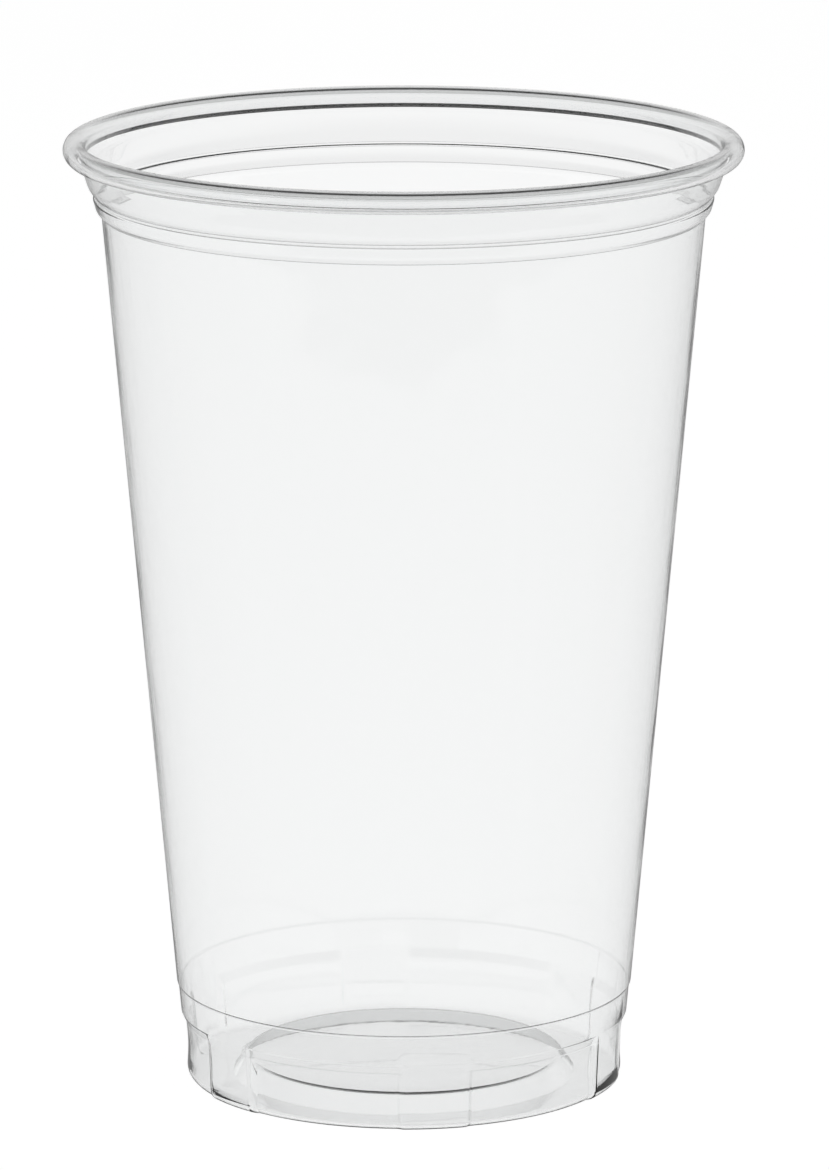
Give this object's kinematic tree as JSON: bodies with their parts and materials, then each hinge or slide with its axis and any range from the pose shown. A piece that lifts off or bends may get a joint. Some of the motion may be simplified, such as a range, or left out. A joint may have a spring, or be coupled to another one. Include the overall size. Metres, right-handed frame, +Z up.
{
  "type": "clear plastic disposable cup",
  "caption": "Clear tapered plastic drinking cup with a rolled rim, a stepped neck and a lugged stacking foot; stands on its base and takes a push-on lid.",
  "frame": {"origin": "middle of the base, on the plane that the cup stands on", "axes": "+Z up along the cup's own axis, from the base to the open mouth; -Y is the front; a lug is centred 8 degrees from the front towards +X"},
  "size_m": [0.095, 0.095, 0.135],
  "materials": {
    "clear_pet": "clear, colourless and glossy, with faint flow marks"
  },
  "bodies": {
    "root": {"cup": "clear_pet"}
  },
  "joints": []
}
